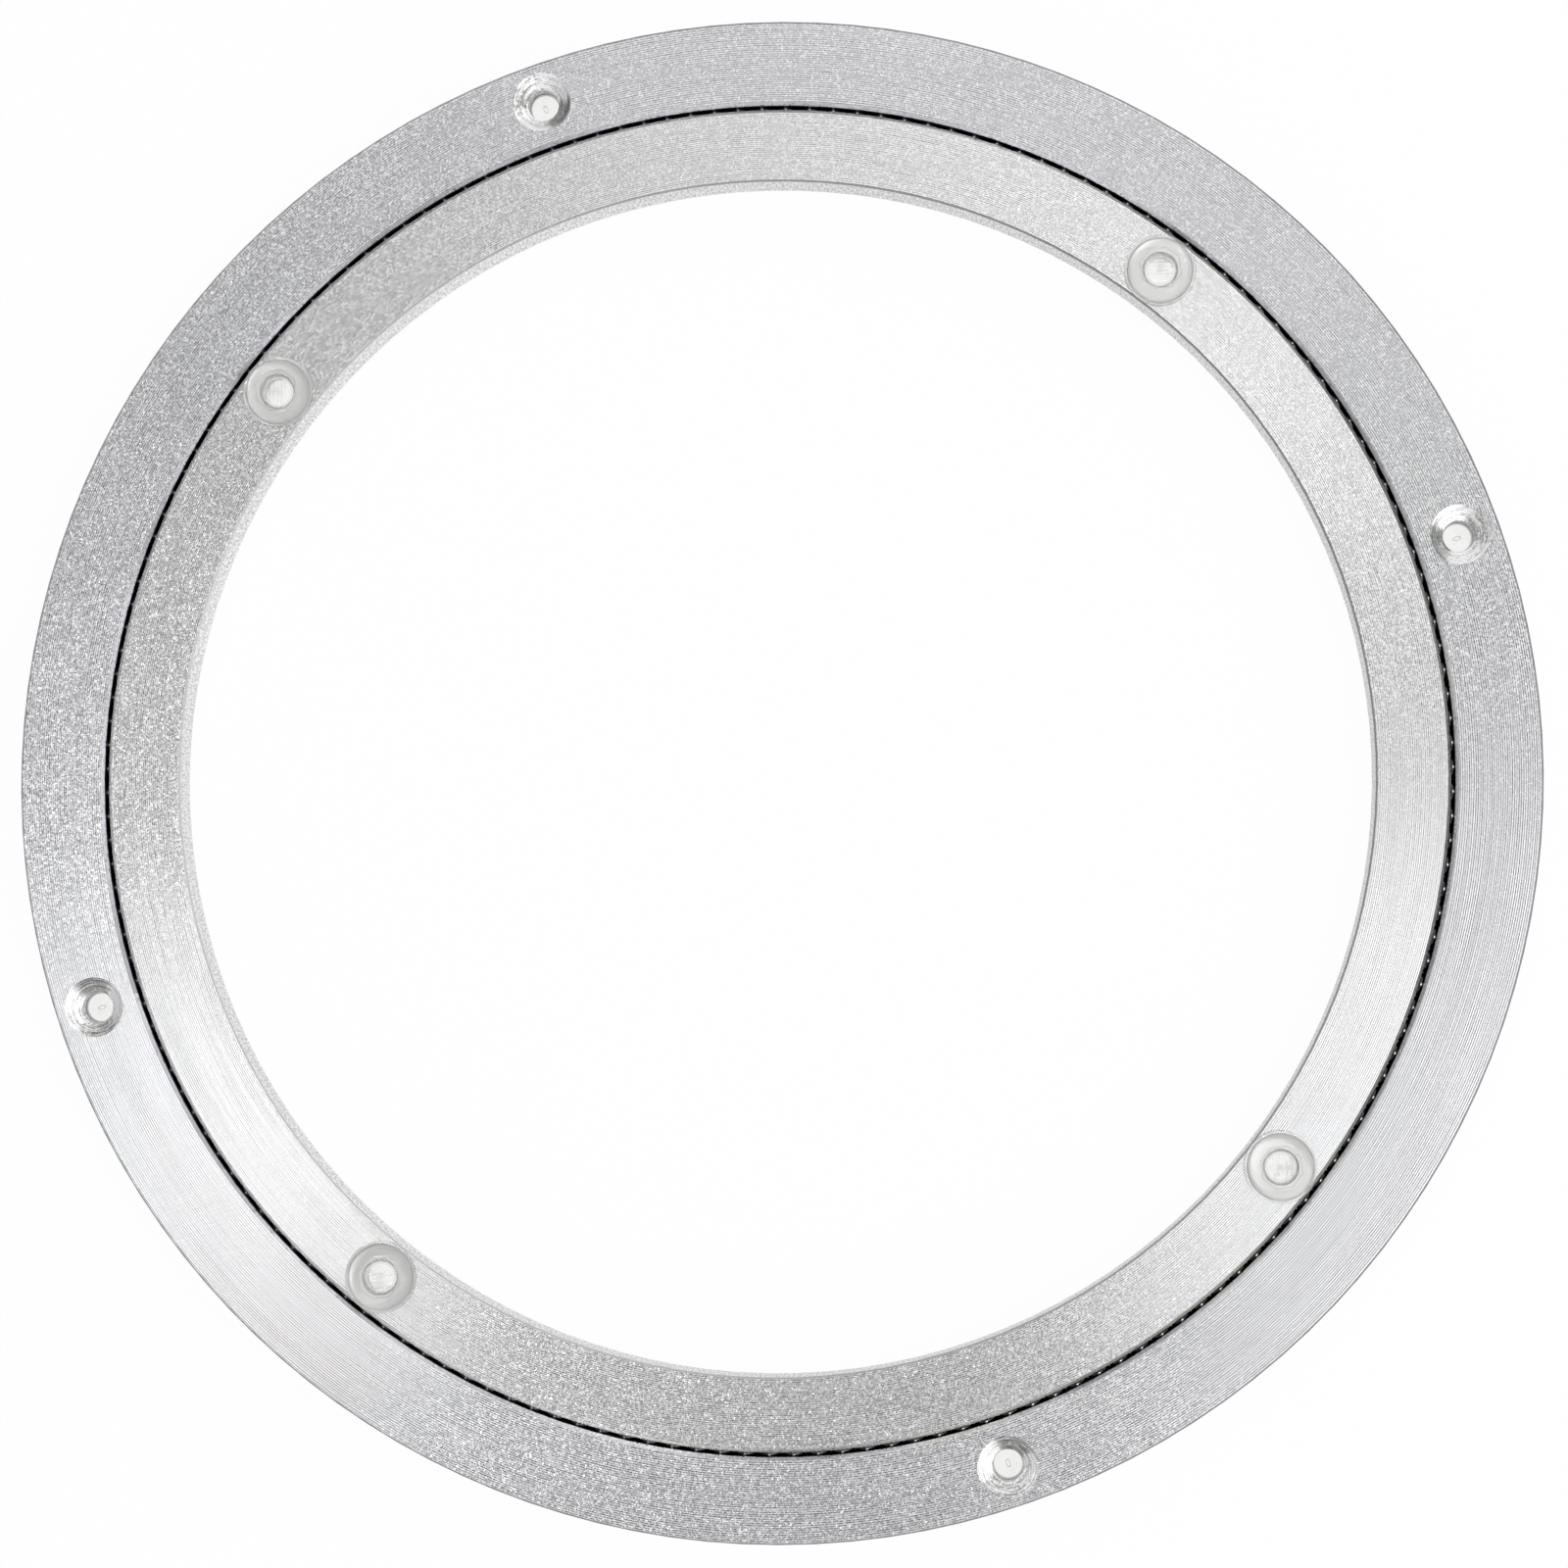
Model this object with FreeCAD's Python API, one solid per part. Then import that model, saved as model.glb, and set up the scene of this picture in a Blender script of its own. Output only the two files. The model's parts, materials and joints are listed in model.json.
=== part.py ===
import FreeCAD, Part
import math
import os

# Lazy susan bearing: two flat aluminium rings, one inside the other, with a full row of
# steel balls between them. Millimetres, +Z up. The origin is on the turning axis, in the
# plane that the feet stand on, and +X passes through a screw hole of the outer ring.

# Rings
outer_ring_d = 300.0        # rim of the outer ring
outer_ring_width = 16.8     # from its bore to its rim
inner_ring_width = 14.5     # from the clear middle to the gap
ring_gap = 0.9              # between the two rings, on the radius
ring_thickness = 8.5        # both rings lie flush
free_edge_chamfer = 0.35    # edges of the rim and of the clear middle
gap_edge_chamfer = 0.65     # edges along the gap

# Ball row
ball_d = 4.7625             # a 3/16 inch ball
race_clearance = 0.1        # between a ball and each raceway

# Screw holes, in both rings
holes_per_ring = 4
screw_hole_d = 6.2
countersink_d = 11.8
countersink_angle = 90.0    # between opposite sides of the cone
outer_hole_offset = 0.6     # hole circle outside the middle of the outer ring's width
inner_ring_turn = 33.3      # degrees that the inner ring stands turned from the outer one

# Rubber bumpers: feet under the outer ring, pads on the inner ring
bumper_d = 14.0
bumper_h = 2.5              # above or below the ring's face
bumper_rim_h = 0.5          # upright rim
bumper_rim_ledge = 0.45     # flat ledge between the rim and the dome
dome_bulge = 0.35           # how far the dome's side stands out from a straight cone
crown_sides = 8             # the crown ends in a flat with this many sides
crown_flats = 7.8           # across two opposite sides of it
crown_h = 0.12              # how far it stands above the dome
crown_margin = 0.25         # flat top of the dome outside its corners
stem_h = 2.5
stem_step = 0.4             # how much the stem's radius passes the screw hole's
stem_chamfer = 0.6
stem_clearance = 0.05       # around the stem and at its end
gate_mark_length = 1.6      # oval dent in the stem's end
gate_mark_width = 0.8
gate_mark_depth = 0.15

# Filling hole through the outer ring's rim, closed by a socket set screw
filling_margin = 0.62       # around a ball that passes through
filling_hole_angle = 45.0
plug_clearance = 0.05       # around the plug and from the outer ring's bore
plug_sunk = 0.3             # below the rim
plug_chamfer = 0.5
plug_socket_sides = 6
plug_socket_flats = 3.0
plug_socket_depth = 3.0

cut_over = 1.0              # how far a cutting tool reaches past the face that it enters

# Radii and levels that follow
outer_rim_r = outer_ring_d / 2
outer_bore_r = outer_rim_r - outer_ring_width
inner_rim_r = outer_bore_r - ring_gap
inner_bore_r = inner_rim_r - inner_ring_width
bottom_z = bumper_h
top_z = bottom_z + ring_thickness
middle_z = (bottom_z + top_z) / 2

ball_r = ball_d / 2
ball_circle_r = (outer_bore_r + inner_rim_r) / 2
ball_count = int(math.pi / math.asin(ball_r / ball_circle_r))
race_r = ball_r + race_clearance
race_mouth = math.sqrt(race_r ** 2 - (ring_gap / 2) ** 2)

outer_hole_circle_r = (outer_bore_r + outer_rim_r) / 2 + outer_hole_offset
inner_hole_circle_r = (inner_bore_r + inner_rim_r) / 2
screw_hole_r = screw_hole_d / 2
countersink_r = countersink_d / 2
countersink_spread = math.tan(math.radians(countersink_angle / 2))
countersink_depth = (countersink_r - screw_hole_r) / countersink_spread

bumper_r = bumper_d / 2
stem_r = screw_hole_r + stem_step
stem_socket_r = stem_r + stem_clearance
stem_socket_depth = stem_h + stem_clearance
filling_hole_r = ball_r + filling_margin

up = FreeCAD.Vector(0, 0, 1)
along_x = FreeCAD.Vector(1, 0, 0)
centre = FreeCAD.Vector(0, 0, 0)


def turned(points, bowed=None):
    """Solid turned about Z from a closed outline of (radius, height) points. bowed maps the
    number of a point to the point that the arc to the next one passes through."""
    corners = [FreeCAD.Vector(r, 0, z) for r, z in points]
    edges = []
    for number, start in enumerate(corners):
        end = corners[(number + 1) % len(corners)]
        if bowed and number in bowed:
            r, z = bowed[number]
            edges.append(Part.Arc(start, FreeCAD.Vector(r, 0, z), end).toShape())
        else:
            edges.append(Part.LineSegment(start, end).toShape())
    return Part.Face(Part.Wire(edges)).revolve(centre, up, 360)


def prism(sides, flats, low_z, high_z):
    """Upright bar with flat sides, the first of them facing +X."""
    half_side = math.pi / sides
    corner_r = flats / 2 / math.cos(half_side)
    corners = []
    for number in range(sides + 1):
        angle = half_side + 2 * half_side * number
        corners.append(FreeCAD.Vector(corner_r * math.cos(angle), corner_r * math.sin(angle), low_z))
    return Part.Face(Part.makePolygon(corners)).extrude(up * (high_z - low_z))


def placed(shape, spot, turn):
    """Copy of shape, turned and then moved."""
    copy = shape.copy()
    copy.Placement = FreeCAD.Placement(spot, turn).multiply(copy.Placement)
    return copy


def on_circle(shape, radius, angle, z):
    """Copy of shape at a point of a circle about the turning axis, turned with that point."""
    turn = FreeCAD.Rotation(up, angle)
    return placed(shape, turn.multVec(along_x * radius) + up * z, turn)


def pointing_out(shape, angle):
    """Copy of an upright shape laid on the balls' level, with its Z pointing out at an angle."""
    return placed(shape, up * middle_z, FreeCAD.Rotation(up, angle) * FreeCAD.Rotation(up, along_x))


def upside_down(shape):
    return placed(shape, centre, FreeCAD.Rotation(along_x, 180))


def hole_angles(first):
    return [first + 360.0 * number / holes_per_ring for number in range(holes_per_ring)]


def plain_ring(gap_wall_r, free_wall_r):
    """Ring with its half of the raceway in the wall that faces the gap."""
    outward = 1 if free_wall_r > gap_wall_r else -1
    gap_edge_r = gap_wall_r + outward * gap_edge_chamfer
    free_edge_r = free_wall_r - outward * free_edge_chamfer
    outline = [
        (gap_wall_r, bottom_z + gap_edge_chamfer),
        (gap_wall_r, middle_z - race_mouth),
        (gap_wall_r, middle_z + race_mouth),
        (gap_wall_r, top_z - gap_edge_chamfer),
        (gap_edge_r, top_z),
        (free_edge_r, top_z),
        (free_wall_r, top_z - free_edge_chamfer),
        (free_wall_r, bottom_z + free_edge_chamfer),
        (free_edge_r, bottom_z),
        (gap_edge_r, bottom_z),
    ]
    race_bottom = (ball_circle_r + outward * race_r, middle_z)
    return turned(outline, {1: race_bottom})


def screw_hole():
    """Tool for one screw hole: countersunk at z = 0, with a socket for a stem at the far face."""
    far_z = -ring_thickness
    socket_end_z = far_z + stem_socket_depth
    return turned([
        (0, cut_over),
        (countersink_r + cut_over * countersink_spread, cut_over),
        (screw_hole_r, -countersink_depth),
        (screw_hole_r, socket_end_z),
        (stem_socket_r, socket_end_z),
        (stem_socket_r, far_z - cut_over),
        (0, far_z - cut_over),
    ])


def outer_ring():
    tool = screw_hole()
    cuts = [on_circle(tool, outer_hole_circle_r, angle, top_z) for angle in hole_angles(0)]
    filling_length = outer_rim_r + cut_over - ball_circle_r
    filling_hole = Part.makeCylinder(filling_hole_r, filling_length, up * ball_circle_r)
    cuts.append(pointing_out(filling_hole, filling_hole_angle))
    return plain_ring(outer_bore_r, outer_rim_r).cut(cuts)


def inner_ring():
    tool = upside_down(screw_hole())
    angles = hole_angles(inner_ring_turn)
    cuts = [on_circle(tool, inner_hole_circle_r, angle, bottom_z) for angle in angles]
    return plain_ring(inner_rim_r, inner_bore_r).cut(cuts)


def bearing_balls():
    """Full row of separate balls, evenly spread over the ball circle."""
    ball = Part.makeSphere(ball_r)
    step = 360.0 / ball_count
    row = [on_circle(ball, ball_circle_r, step * number, middle_z) for number in range(ball_count)]
    return Part.makeCompound(row)


def filling_plug():
    """Set screw in the filling hole. Its inner end completes the raceway there."""
    radius = filling_hole_r - plug_clearance
    start = outer_bore_r + plug_clearance
    end = outer_rim_r - plug_sunk
    body = turned([
        (0, start),
        (radius, start),
        (radius, end - plug_chamfer),
        (radius - plug_chamfer, end),
        (0, end),
    ])
    socket = prism(plug_socket_sides, plug_socket_flats, end - plug_socket_depth, end + cut_over)
    race = Part.makeTorus(ball_circle_r, race_r, up * middle_z, up)
    return pointing_out(body.cut(socket), filling_hole_angle).cut(race)


def gate_mark():
    """Tool for the oval dent in the middle of a stem's end."""
    radius = gate_mark_width / 2
    half = gate_mark_length / 2 - radius
    low_z = -stem_h - cut_over
    height = gate_mark_depth + cut_over
    ends = [Part.makeCylinder(radius, height, FreeCAD.Vector(x, 0, low_z)) for x in (-half, half)]
    corner = FreeCAD.Vector(-half, -radius, low_z)
    return Part.makeBox(2 * half, gate_mark_width, height, corner).fuse(ends)


def bumper():
    """One rubber bumper: a dome that stands on z = 0, with its stem below."""
    dome_edge_r = bumper_r - bumper_rim_ledge
    dome_top_r = crown_flats / 2 / math.cos(math.pi / crown_sides) + crown_margin
    dome_top_z = bumper_h - crown_h
    rise = dome_top_z - bumper_rim_h
    run = dome_edge_r - dome_top_r
    slant = math.hypot(rise, run)
    dome_middle_r = (dome_edge_r + dome_top_r) / 2 + dome_bulge * rise / slant
    dome_middle_z = (bumper_rim_h + dome_top_z) / 2 + dome_bulge * run / slant
    outline = [
        (0, -stem_h),
        (stem_r - stem_chamfer, -stem_h),
        (stem_r, -stem_h + stem_chamfer),
        (stem_r, 0),
        (bumper_r, 0),
        (bumper_r, bumper_rim_h),
        (dome_edge_r, bumper_rim_h),
        (dome_top_r, dome_top_z),
        (0, dome_top_z),
    ]
    body = turned(outline, {6: (dome_middle_r, dome_middle_z)})
    crown = prism(crown_sides, crown_flats, dome_top_z, bumper_h)
    return body.fuse(crown).cut(gate_mark())


def write(node, shape):
    shape.exportStep("parts/" + node + ".step")
    print(node, len(shape.Solids), "solids", round(shape.Volume, 1), "mm3", shape.isValid())


os.makedirs("parts", exist_ok=True)
write("outer_ring", outer_ring())
write("inner_ring", inner_ring())
write("bearing_balls", bearing_balls())
write("filling_plug", filling_plug())

pad = bumper()
for number, angle in enumerate(hole_angles(inner_ring_turn), 1):
    write("pad_%d" % number, on_circle(pad, inner_hole_circle_r, angle, top_z))

foot = upside_down(pad)
for number, angle in enumerate(hole_angles(0), 1):
    write("foot_%d" % number, on_circle(foot, outer_hole_circle_r, angle, bottom_z))

print("balls", ball_count, "on a circle of", 2 * ball_circle_r)
print("hole circles", 2 * outer_hole_circle_r, 2 * inner_hole_circle_r)
print("levels", bottom_z, top_z, "countersink depth", countersink_depth)
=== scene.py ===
import json
import math

import bpy
from mathutils import Matrix, Vector


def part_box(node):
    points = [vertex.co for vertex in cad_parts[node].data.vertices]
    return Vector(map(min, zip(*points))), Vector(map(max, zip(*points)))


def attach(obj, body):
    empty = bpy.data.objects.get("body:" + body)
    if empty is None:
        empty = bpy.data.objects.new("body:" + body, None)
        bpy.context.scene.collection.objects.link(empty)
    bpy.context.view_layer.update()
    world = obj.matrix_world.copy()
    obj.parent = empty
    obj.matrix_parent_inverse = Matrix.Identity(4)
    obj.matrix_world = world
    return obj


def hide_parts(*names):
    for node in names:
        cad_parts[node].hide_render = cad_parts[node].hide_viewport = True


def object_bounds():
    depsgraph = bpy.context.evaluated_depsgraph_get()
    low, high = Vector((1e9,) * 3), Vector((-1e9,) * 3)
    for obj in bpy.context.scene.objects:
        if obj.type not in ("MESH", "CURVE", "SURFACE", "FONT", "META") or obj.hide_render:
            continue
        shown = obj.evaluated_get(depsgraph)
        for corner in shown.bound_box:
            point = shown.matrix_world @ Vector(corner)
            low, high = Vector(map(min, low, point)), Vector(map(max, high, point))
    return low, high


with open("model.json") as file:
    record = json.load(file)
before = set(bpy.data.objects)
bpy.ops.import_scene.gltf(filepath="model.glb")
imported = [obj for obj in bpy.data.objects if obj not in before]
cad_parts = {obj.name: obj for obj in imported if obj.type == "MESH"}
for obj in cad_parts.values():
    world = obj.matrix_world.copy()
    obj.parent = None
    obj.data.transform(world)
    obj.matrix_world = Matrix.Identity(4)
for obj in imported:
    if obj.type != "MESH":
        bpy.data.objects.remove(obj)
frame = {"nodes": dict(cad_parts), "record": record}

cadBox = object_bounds()
mm = 0.001

# Sizes of the bearing, read from the frame, in millimetres
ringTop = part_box("outer_ring")[1].z / mm
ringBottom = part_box("outer_ring")[0].z / mm
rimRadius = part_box("outer_ring")[1].x / mm
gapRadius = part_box("inner_ring")[1].x / mm
mounts = {mount["name"]: mount for mount in frame["record"]["mounts"]}
footCentre = Vector(mounts["stand_rest"]["pos_m"])
padCentre = Vector(mounts["board_rest"]["pos_m"])
print("frame read, rim radius", round(rimRadius, 2), "mm, ring top at", round(ringTop, 2), "mm")


def addObject(name, data):
    thing = bpy.data.objects.new(name, data)
    bpy.context.scene.collection.objects.link(thing)
    return thing


# Camera

camera = {
    "lens": 79.8,             # mm
    "sensor": 36.0,           # mm
    "distance": 682.6,        # mm from the point that it looks at
    "lookAt": (1.73, -2.89),  # mm, in the plane of the rings' top
    "lean": 5.325,            # degrees off straight down
    "leanTowards": -61.25,    # degrees round the bearing from +X
    "pictureTurn": -18.85,    # degrees from +X to the picture's right-hand side
    "clip": (0.01, 20.0),     # m
}


def placeCamera():
    lean = math.radians(camera["lean"])
    towards = math.radians(camera["leanTowards"])
    turn = math.radians(camera["pictureTurn"])
    back = Vector((math.sin(lean) * math.cos(towards), math.sin(lean) * math.sin(towards), math.cos(lean)))
    target = Vector((*camera["lookAt"], ringTop)) * mm
    pictureUp = Vector((-math.sin(turn), math.cos(turn), 0))
    right = pictureUp.cross(back).normalized()
    up = back.cross(right)
    data = bpy.data.cameras.new("camera")
    data.lens = camera["lens"]
    data.sensor_width = camera["sensor"]
    data.clip_start, data.clip_end = camera["clip"]
    holder = addObject("camera", data)
    place = Matrix((right, up, back)).transposed().to_4x4()
    place.translation = target + back * camera["distance"] * mm
    holder.matrix_world = place
    bpy.context.scene.camera = holder


placeCamera()
bpy.context.scene.view_settings.view_transform = "Standard"
print("camera placed")


# Small helpers for node trees

def wire(tree, value, socket):
    if isinstance(value, bpy.types.NodeSocket):
        tree.links.new(value, socket)
    else:
        socket.default_value = value


def calc(tree, operation, *values):
    node = tree.nodes.new("ShaderNodeMath")
    node.operation = operation
    for socket, value in zip(node.inputs, values):
        wire(tree, value, socket)
    return node.outputs["Value"]


def product(tree, first, *others):
    for other in others:
        first = calc(tree, "MULTIPLY", first, other)
    return first


def without(tree, mask):
    return calc(tree, "SUBTRACT", 1.0, mask)


def length(tree, x, y):
    squares = calc(tree, "ADD", calc(tree, "MULTIPLY", x, x), calc(tree, "MULTIPLY", y, y))
    return calc(tree, "SQRT", squares)


def ramp(tree, value, start, end, low=0.0, high=1.0):
    node = tree.nodes.new("ShaderNodeMapRange")
    node.interpolation_type = "SMOOTHSTEP"
    wire(tree, value, node.inputs["Value"])
    wire(tree, start, node.inputs["From Min"])
    wire(tree, end, node.inputs["From Max"])
    wire(tree, low, node.inputs["To Min"])
    wire(tree, high, node.inputs["To Max"])
    return node.outputs["Result"]


def mixed(tree, share, first, second, kind="FLOAT"):
    node = tree.nodes.new("ShaderNodeMix")
    node.data_type = kind
    names = [socket for socket in node.inputs if socket.enabled]
    wire(tree, share, names[0])
    wire(tree, first, names[1])
    wire(tree, second, names[2])
    return next(socket for socket in node.outputs if socket.enabled)


def scaled(tree, vector, factor):
    node = tree.nodes.new("ShaderNodeVectorMath")
    node.operation = "SCALE"
    wire(tree, vector, node.inputs["Vector"])
    wire(tree, factor, node.inputs["Scale"])
    return node.outputs["Vector"]


def point(tree, x, y, z):
    node = tree.nodes.new("ShaderNodeCombineXYZ")
    for socket, value in zip(node.inputs, (x, y, z)):
        wire(tree, value, socket)
    return node.outputs["Vector"]


def split(tree, vector):
    node = tree.nodes.new("ShaderNodeSeparateXYZ")
    tree.links.new(vector, node.inputs["Vector"])
    return node.outputs


def placeInMm(tree):
    return scaled(tree, tree.nodes.new("ShaderNodeTexCoord").outputs["Object"], 1 / mm)


def noise(tree, place, scale, detail=2.0, rough=0.5, seed=0.0):
    node = tree.nodes.new("ShaderNodeTexNoise")
    node.noise_dimensions = "4D"
    wire(tree, place, node.inputs["Vector"])
    wire(tree, scale, node.inputs["Scale"])
    wire(tree, seed, node.inputs["W"])
    node.inputs["Detail"].default_value = detail
    node.inputs["Roughness"].default_value = rough
    return node.outputs[0]


def cells(tree, place, scale):
    node = tree.nodes.new("ShaderNodeTexVoronoi")
    wire(tree, place, node.inputs["Vector"])
    wire(tree, scale, node.inputs["Scale"])
    return node.outputs


def addRelief(tree, shader, height, normal=None):
    # The height is in millimetres
    bump = tree.nodes.new("ShaderNodeBump")
    bump.inputs["Distance"].default_value = mm
    wire(tree, height, bump.inputs["Height"])
    if normal is not None:
        wire(tree, normal, bump.inputs["Normal"])
    wire(tree, bump.outputs["Normal"], shader.inputs["Normal"])


def newGroup(name, inputs, outputs):
    group = bpy.data.node_groups.new(name, "ShaderNodeTree")
    for label, value in inputs.items():
        socket = group.interface.new_socket(name=label, in_out="INPUT", socket_type="NodeSocketFloat")
        socket.default_value = value
    for label in outputs:
        kind = "NodeSocketVector" if label == "Normal" else "NodeSocketFloat"
        group.interface.new_socket(name=label, in_out="OUTPUT", socket_type=kind)
    given = group.nodes.new("NodeGroupInput").outputs
    asked = group.nodes.new("NodeGroupOutput").inputs
    return group, given, asked


def useGroup(tree, group, values=None):
    node = tree.nodes.new("ShaderNodeGroup")
    node.node_tree = group
    node.label = group.name
    for label, value in (values or {}).items():
        wire(tree, value, node.inputs[label])
    return node.outputs


def newMaterial(name):
    material = bpy.data.materials.new(name)
    material.use_nodes = True
    tree = material.node_tree
    return material, tree, tree.nodes["Principled BSDF"]


# Effects that the finishes share

def ringPlaceGroup():
    # Where a point is on a ring, in millimetres and radians
    tree, given, asked = newGroup("ring place", {}, ["Radius", "Height", "Angle"])
    x, y, z = split(tree, placeInMm(tree))
    wire(tree, length(tree, x, y), asked["Radius"])
    wire(tree, z, asked["Height"])
    wire(tree, calc(tree, "ARCTAN2", y, x), asked["Angle"])
    return tree


# How steeply a face looks up or down, from 0 for a wall to 1 for a flat face
steepness = {"flat": (0.93, 0.97), "wall": (0.4, 0.3)}


def faceKindsGroup():
    # Tells the flat faces from the bevels and the upright walls
    tree, given, asked = newGroup("face kinds", {}, ["Flat", "Bevel", "Wall"])
    normal = tree.nodes.new("ShaderNodeNewGeometry").outputs["True Normal"]
    rise = calc(tree, "ABSOLUTE", split(tree, normal)["Z"])
    flat = ramp(tree, rise, *steepness["flat"])
    wall = ramp(tree, rise, *steepness["wall"])
    wire(tree, flat, asked["Flat"])
    wire(tree, wall, asked["Wall"])
    wire(tree, calc(tree, "SUBTRACT", without(tree, flat), wall), asked["Bevel"])
    return tree


groovePattern = {
    "patchAcross": 0.7,        # how fast the cut's depth changes from groove to groove
    "patchAlong": 2.5,         # and per radian along a groove
    "patchEdges": (0.3, 0.7),  # noise of the faintest and of the deepest cut
}


def turnedGroovesGroup():
    # The spiral that a lathe tool leaves in a face: one groove for each pitch of the radius
    look = groovePattern
    inputs = {"Radius": 0.0, "Angle": 0.0, "Pitch": 0.4, "Faintest": 0.3, "Deepest": 1.5}
    tree, given, asked = newGroup("turned grooves", inputs, ["Cut", "Line", "Slope", "Depth"])
    turns = calc(tree, "DIVIDE", given["Angle"], 2 * math.pi)
    cut = calc(tree, "ADD", calc(tree, "DIVIDE", given["Radius"], given["Pitch"]), turns)
    phase = product(tree, cut, 2 * math.pi)
    wire(tree, cut, asked["Cut"])
    profile = calc(tree, "MULTIPLY_ADD", calc(tree, "SINE", phase), 0.5, 0.5)
    wire(tree, ramp(tree, profile, 0.5, 0.0), asked["Line"])
    wire(tree, calc(tree, "COSINE", phase), asked["Slope"])
    across, along = product(tree, cut, look["patchAcross"]), product(tree, given["Angle"], look["patchAlong"])
    spot = point(tree, across, along, 0.0)
    depth = ramp(tree, noise(tree, spot, 1.0), *look["patchEdges"], given["Faintest"], given["Deepest"])
    wire(tree, depth, asked["Depth"])
    return tree


grainPattern = {
    "glintEdges": (0.9, 0.97),  # the few grains whose chance is higher get a painted glint
    "crumpleShare": 0.55,       # size of a grain against that of the crumple
    "cloudScale": 0.05,         # per mm
}


def blastedGrainGroup():
    # The fine satin grain under the anodising: a speckle, painted glints on a few specks and slower clouds
    look = grainPattern
    inputs = {"Grain Size": 0.3, "Seed": 0.0}
    tree, given, asked = newGroup("blasted grain", inputs, ["Speckle", "Glint", "Crumple", "Cloud"])
    place = placeInMm(tree)
    fine = calc(tree, "DIVIDE", 1.0, given["Grain Size"])
    x, y, z = split(tree, cells(tree, place, fine)["Color"])
    total = calc(tree, "ADD", x, calc(tree, "ADD", y, z))
    wire(tree, calc(tree, "DIVIDE", total, 3.0), asked["Speckle"])
    wire(tree, ramp(tree, x, *look["glintEdges"]), asked["Glint"])
    coarse = product(tree, fine, look["crumpleShare"])
    wire(tree, noise(tree, place, coarse, 1.0, 0.5, given["Seed"]), asked["Crumple"])
    wire(tree, noise(tree, place, look["cloudScale"], 2.0, 0.5, given["Seed"]), asked["Cloud"])
    return tree


def satinFacetsGroup():
    # Tiny facets in rows along the grooves, each tilted its own way, so that the metal glitters
    inputs = {
        "Cut": 0.0, "Angle": 0.0, "Height": 0.0, "Length": 0.25, "Mean Radius": 130.0, "Rows": 1.6,
        "Lean": 0.0, "Radial Tilt": 0.1, "Along Tilt": 0.1, "Upright Tilt": 0.1, "Rise": 0.0, "Rarity": 3.0,
    }
    tree, given, asked = newGroup("satin facets", inputs, ["Normal", "Speckle", "Second Speckle"])
    arc = product(tree, given["Angle"], given["Mean Radius"])
    along = calc(tree, "DIVIDE", arc, given["Length"])
    high = calc(tree, "DIVIDE", given["Height"], given["Length"])
    facets = cells(tree, point(tree, product(tree, given["Cut"], given["Rows"]), along, high), 1.0)
    chances = split(tree, facets["Color"])
    spread = []
    for chance in chances:
        # Most facets lie nearly level and a few lean far
        offMiddle = calc(tree, "MULTIPLY_ADD", chance, 2.0, -1.0)
        rare = calc(tree, "POWER", calc(tree, "ABSOLUTE", offMiddle), given["Rarity"])
        spread.append(product(tree, offMiddle, rare))
    outwards = calc(tree, "MULTIPLY_ADD", spread[0], given["Radial Tilt"], given["Lean"])
    sideways = product(tree, spread[1], given["Along Tilt"])
    upwards = calc(tree, "MULTIPLY_ADD", spread[2], given["Upright Tilt"], given["Rise"])
    cosine, sine = calc(tree, "COSINE", given["Angle"]), calc(tree, "SINE", given["Angle"])
    x = calc(tree, "SUBTRACT", product(tree, cosine, outwards), product(tree, sine, sideways))
    y = calc(tree, "ADD", product(tree, sine, outwards), product(tree, cosine, sideways))
    tilted = tree.nodes.new("ShaderNodeVectorMath")
    tree.links.new(tree.nodes.new("ShaderNodeTexCoord").outputs["Normal"], tilted.inputs[0])
    tree.links.new(point(tree, x, y, upwards), tilted.inputs[1])
    turned = tree.nodes.new("ShaderNodeVectorTransform")
    turned.vector_type = "NORMAL"
    turned.convert_from = "OBJECT"
    turned.convert_to = "WORLD"
    tree.links.new(tilted.outputs["Vector"], turned.inputs[0])
    wire(tree, turned.outputs[0], asked["Normal"])
    wire(tree, chances[2], asked["Speckle"])
    wire(tree, chances[0], asked["Second Speckle"])
    return tree


drillPattern = {
    "rings": (3.6, 0.9),      # changes per mm away from the hole, and round it
    "ringRoughness": 0.65,
    "chatter": (2.0, 9.0),
    "chatterRoughness": 0.6,
    "chatterShare": 0.8,      # how much the chatter breaks up the edge of the painted shade
    "seedStep": 7.3,          # between two holes
}
paintedDarkSides = ["Rubbed Side %d" % (number + 1) for number in range(4)]


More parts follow.
